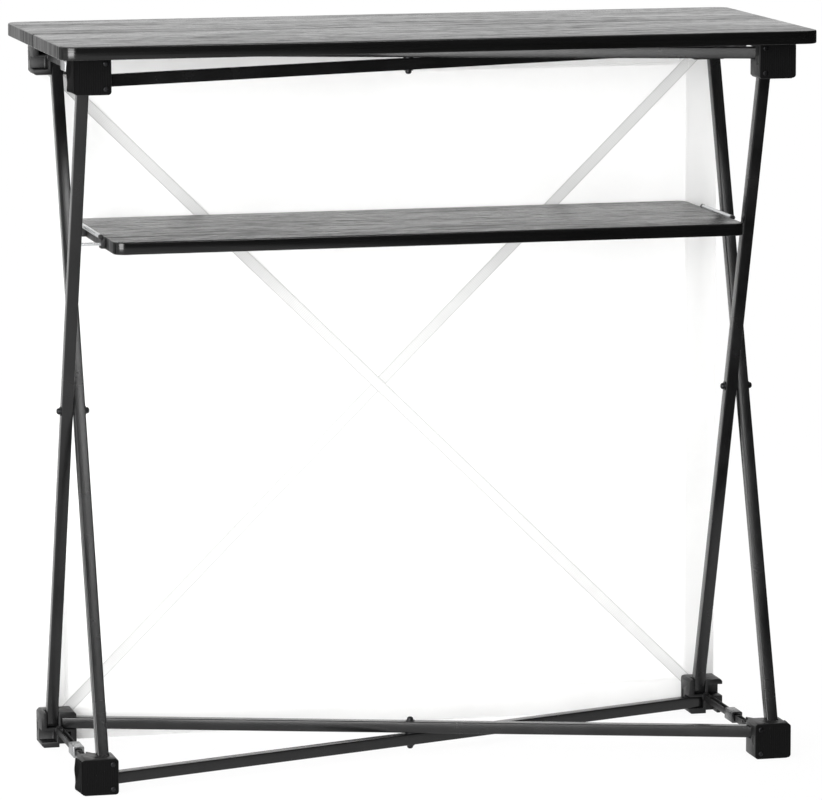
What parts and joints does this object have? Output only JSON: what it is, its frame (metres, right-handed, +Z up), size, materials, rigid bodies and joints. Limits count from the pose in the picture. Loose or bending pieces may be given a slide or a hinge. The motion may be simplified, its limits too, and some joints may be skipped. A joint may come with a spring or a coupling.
{
  "type": "folding portable bar",
  "caption": "Folding portable bar: crossed-tube scissor frame on pinwheel hubs, planked worktop, shelf and stretched white cloth cover.",
  "frame": {"origin": "on the floor, at the centre of the footprint", "axes": "+X along the counter to the right, +Y to the cloth-covered customer side, +Z up"},
  "size_m": [1.048, 0.444, 1.018],
  "materials": {
    "moulded": "satin moulded black",
    "hook_tape": "ribbed black tape",
    "black_tube": "satin black paint",
    "bright": "satin anodised",
    "steel": "plain zinc",
    "laminate": "grey woodgrain laminate",
    "cloth": "white woven cloth",
    "webbing": "ribbed white webbing"
  },
  "bodies": {
    "bottom_pivot": {"bolt_bottom": "bright"},
    "bar_bottom_lower": {"bar_bottom_lower": "black_tube"},
    "bar_bottom_upper": {"bar_bottom_upper": "black_tube"},
    "hub_bottom_front_left": {"hub_bottom_front_left": "moulded", "pad_bottom_front_left": "hook_tape", "lock_bottom_left_catch": "moulded"},
    "hub_bottom_front_right": {"hub_bottom_front_right": "moulded", "pad_bottom_front_right": "hook_tape", "lock_bottom_right_catch": "moulded"},
    "hub_bottom_back_left": {"hub_bottom_back_left": "moulded", "pad_bottom_back_left": "hook_tape", "lock_bottom_left_channel": "moulded", "lock_bottom_left_sleeve": "bright"},
    "hub_bottom_back_right": {"hub_bottom_back_right": "moulded", "pad_bottom_back_right": "hook_tape", "lock_bottom_right_channel": "moulded", "lock_bottom_right_sleeve": "bright"},
    "hub_top_front_left": {"hub_top_front_left": "moulded", "pad_top_front_left": "hook_tape", "lock_top_left_catch": "moulded"},
    "hub_top_front_right": {"hub_top_front_right": "moulded", "pad_top_front_right": "hook_tape", "lock_top_right_catch": "moulded"},
    "hub_top_back_left": {"hub_top_back_left": "moulded", "pad_top_back_left": "hook_tape", "lock_top_left_channel": "moulded", "lock_top_left_sleeve": "bright"},
    "hub_top_back_right": {"hub_top_back_right": "moulded", "pad_top_back_right": "hook_tape", "lock_top_right_channel": "moulded", "lock_top_right_sleeve": "bright"},
    "leg_left_inner": {"leg_left_inner": "black_tube", "bolt_left": "bright"},
    "leg_left_outer": {"leg_left_outer": "black_tube"},
    "leg_right_inner": {"leg_right_inner": "black_tube", "bolt_right": "bright"},
    "leg_right_outer": {"leg_right_outer": "black_tube"},
    "bar_top_lower": {"bar_top_lower": "black_tube"},
    "bar_top_upper": {"bar_top_upper": "black_tube"},
    "top_pivot": {"bolt_top": "bright"},
    "top_front": {"top_front_plank": "laminate", "hinge_left_front": "steel", "hinge_right_front": "steel"},
    "top_rear": {"top_rear_plank": "laminate", "hinge_left_rear": "steel", "hinge_right_rear": "steel"},
    "shelf": {"shelf_board": "laminate", "shelf_rail_left": "bright", "shelf_rail_right": "bright", "shelf_bracket_left_front": "moulded", "shelf_bracket_left_back": "moulded", "shelf_bracket_right_front": "moulded", "shelf_bracket_right_back": "moulded"},
    "cover": {"cover_panel": "cloth", "cover_straps": "webbing"},
    "lever_bottom_left": {"lock_bottom_left_lever": "moulded"},
    "lever_bottom_right": {"lock_bottom_right_lever": "moulded"},
    "lever_top_left": {"lock_top_left_lever": "moulded"},
    "lever_top_right": {"lock_top_right_lever": "moulded"}
  },
  "joints": [
    {"name": "frame_fold", "type": "hinge", "parent": "bottom_pivot", "child": "bar_bottom_lower", "pos_m": [0, 0, 0.025], "axis": [0, 0, 1], "range_deg": [0, 66]},
    {"name": "bottom_upper_turn", "type": "hinge", "parent": "bottom_pivot", "child": "bar_bottom_upper", "pos_m": [0, 0, 0.025], "axis": [0, 0, -1], "range_deg": [0, 66]},
    {"name": "hub_bottom_front_left_turn", "type": "hinge", "parent": "bar_bottom_lower", "child": "hub_bottom_front_left", "pos_m": [-0.46, -0.15, 0.025], "axis": [0, 0, -1], "range_deg": [0, 66]},
    {"name": "hub_bottom_back_right_turn", "type": "hinge", "parent": "bar_bottom_lower", "child": "hub_bottom_back_right", "pos_m": [0.46, 0.15, 0.025], "axis": [0, 0, -1], "range_deg": [0, 66]},
    {"name": "hub_bottom_back_left_turn", "type": "hinge", "parent": "bar_bottom_upper", "child": "hub_bottom_back_left", "pos_m": [-0.46, 0.15, 0.025], "axis": [0, 0, 1], "range_deg": [0, 66]},
    {"name": "hub_bottom_front_right_turn", "type": "hinge", "parent": "bar_bottom_upper", "child": "hub_bottom_front_right", "pos_m": [0.46, -0.15, 0.025], "axis": [0, 0, 1], "range_deg": [0, 66]},
    {"name": "leg_left_inner_swing", "type": "hinge", "parent": "hub_bottom_front_left", "child": "leg_left_inner", "pos_m": [-0.475, -0.15, 0.04], "axis": [-1, 0, 0], "range_deg": [0, 66]},
    {"name": "leg_left_outer_swing", "type": "hinge", "parent": "hub_bottom_back_left", "child": "leg_left_outer", "pos_m": [-0.475, 0.15, 0.04], "axis": [1, 0, 0], "range_deg": [0, 66]},
    {"name": "leg_right_outer_swing", "type": "hinge", "parent": "hub_bottom_front_right", "child": "leg_right_outer", "pos_m": [0.475, -0.15, 0.04], "axis": [-1, 0, 0], "range_deg": [0, 66]},
    {"name": "leg_right_inner_swing", "type": "hinge", "parent": "hub_bottom_back_right", "child": "leg_right_inner", "pos_m": [0.475, 0.15, 0.04], "axis": [1, 0, 0], "range_deg": [0, 66]},
    {"name": "hub_top_back_left_turn", "type": "hinge", "parent": "leg_left_inner", "child": "hub_top_back_left", "pos_m": [-0.475, 0.15, 0.96], "axis": [1, 0, 0], "range_deg": [0, 66]},
    {"name": "hub_top_front_left_turn", "type": "hinge", "parent": "leg_left_outer", "child": "hub_top_front_left", "pos_m": [-0.475, -0.15, 0.96], "axis": [-1, 0, 0], "range_deg": [0, 66]},
    {"name": "hub_top_back_right_turn", "type": "hinge", "parent": "leg_right_outer", "child": "hub_top_back_right", "pos_m": [0.475, 0.15, 0.96], "axis": [1, 0, 0], "range_deg": [0, 66]},
    {"name": "hub_top_front_right_turn", "type": "hinge", "parent": "leg_right_inner", "child": "hub_top_front_right", "pos_m": [0.475, -0.15, 0.96], "axis": [-1, 0, 0], "range_deg": [0, 66]},
    {"name": "top_lower_turn", "type": "hinge", "parent": "hub_top_front_left", "child": "bar_top_lower", "pos_m": [-0.46, -0.15, 0.975], "axis": [0, 0, 1], "range_deg": [0, 66]},
    {"name": "top_upper_turn", "type": "hinge", "parent": "hub_top_back_left", "child": "bar_top_upper", "pos_m": [-0.46, 0.15, 0.975], "axis": [0, 0, -1], "range_deg": [0, 66]},
    {"name": "top_pivot_turn", "type": "hinge", "parent": "bar_top_lower", "child": "top_pivot", "pos_m": [0, 0, 0.975], "axis": [0, 0, -1], "range_deg": [0, 66]},
    {"name": "top_lift", "type": "slide", "parent": "top_pivot", "child": "top_front", "axis": [0, 0, 1], "range_m": [0, 0.72]},
    {"name": "top_rear_fold", "type": "hinge", "parent": "top_front", "child": "top_rear", "pos_m": [0, 0, 0.9968], "axis": [-1, 0, 0], "range_deg": [0, 180]},
    {"name": "shelf_out", "type": "slide", "parent": "bottom_pivot", "child": "shelf", "axis": [-0.034, -0.995, -0.094], "range_m": [0, 2.2472]},
    {"name": "cover_off", "type": "slide", "parent": "bottom_pivot", "child": "cover", "axis": [0, 1, 0], "range_m": [0, 0.9916]},
    {"name": "lever_bottom_left_press", "type": "hinge", "parent": "hub_bottom_front_left", "child": "lever_bottom_left", "pos_m": [-0.47035, -0.055, 0.027], "axis": [0, 1, 0], "range_deg": [0, 10], "stiffness_Nm_per_rad": 0.02},
    {"name": "lever_bottom_right_press", "type": "hinge", "parent": "hub_bottom_front_right", "child": "lever_bottom_right", "pos_m": [0.47965, -0.055, 0.027], "axis": [0, 1, 0], "range_deg": [0, 10], "stiffness_Nm_per_rad": 0.02},
    {"name": "lever_top_left_press", "type": "hinge", "parent": "hub_top_front_left", "child": "lever_top_left", "pos_m": [-0.47035, -0.055, 0.977], "axis": [0, 1, 0], "range_deg": [0, 10], "stiffness_Nm_per_rad": 0.02},
    {"name": "lever_top_right_press", "type": "hinge", "parent": "hub_top_front_right", "child": "lever_top_right", "pos_m": [0.47965, -0.055, 0.977], "axis": [0, 1, 0], "range_deg": [0, 10], "stiffness_Nm_per_rad": 0.02}
  ],
  "couplings": [
    {"joint": "bottom_upper_turn", "follows": "frame_fold", "ratio": 1},
    {"joint": "hub_bottom_front_left_turn", "follows": "frame_fold", "ratio": 1},
    {"joint": "hub_bottom_back_right_turn", "follows": "frame_fold", "ratio": 1},
    {"joint": "hub_bottom_back_left_turn", "follows": "frame_fold", "ratio": 1},
    {"joint": "hub_bottom_front_right_turn", "follows": "frame_fold", "ratio": 1},
    {"joint": "leg_left_inner_swing", "follows": "frame_fold", "ratio": 1},
    {"joint": "leg_left_outer_swing", "follows": "frame_fold", "ratio": 1},
    {"joint": "leg_right_outer_swing", "follows": "frame_fold", "ratio": 1},
    {"joint": "leg_right_inner_swing", "follows": "frame_fold", "ratio": 1},
    {"joint": "hub_top_back_left_turn", "follows": "frame_fold", "ratio": 1},
    {"joint": "hub_top_front_left_turn", "follows": "frame_fold", "ratio": 1},
    {"joint": "hub_top_back_right_turn", "follows": "frame_fold", "ratio": 1},
    {"joint": "hub_top_front_right_turn", "follows": "frame_fold", "ratio": 1},
    {"joint": "top_lower_turn", "follows": "frame_fold", "ratio": 1},
    {"joint": "top_upper_turn", "follows": "frame_fold", "ratio": 1},
    {"joint": "top_pivot_turn", "follows": "frame_fold", "ratio": 1},
    {"joint": "top_rear_fold", "follows": "top_lift", "rad_per_m": 4.3633},
    {"joint": "shelf_out", "follows": "frame_fold", "m_per_rad": 1.95},
    {"joint": "cover_off", "follows": "frame_fold", "m_per_rad": 0.86}
  ]
}
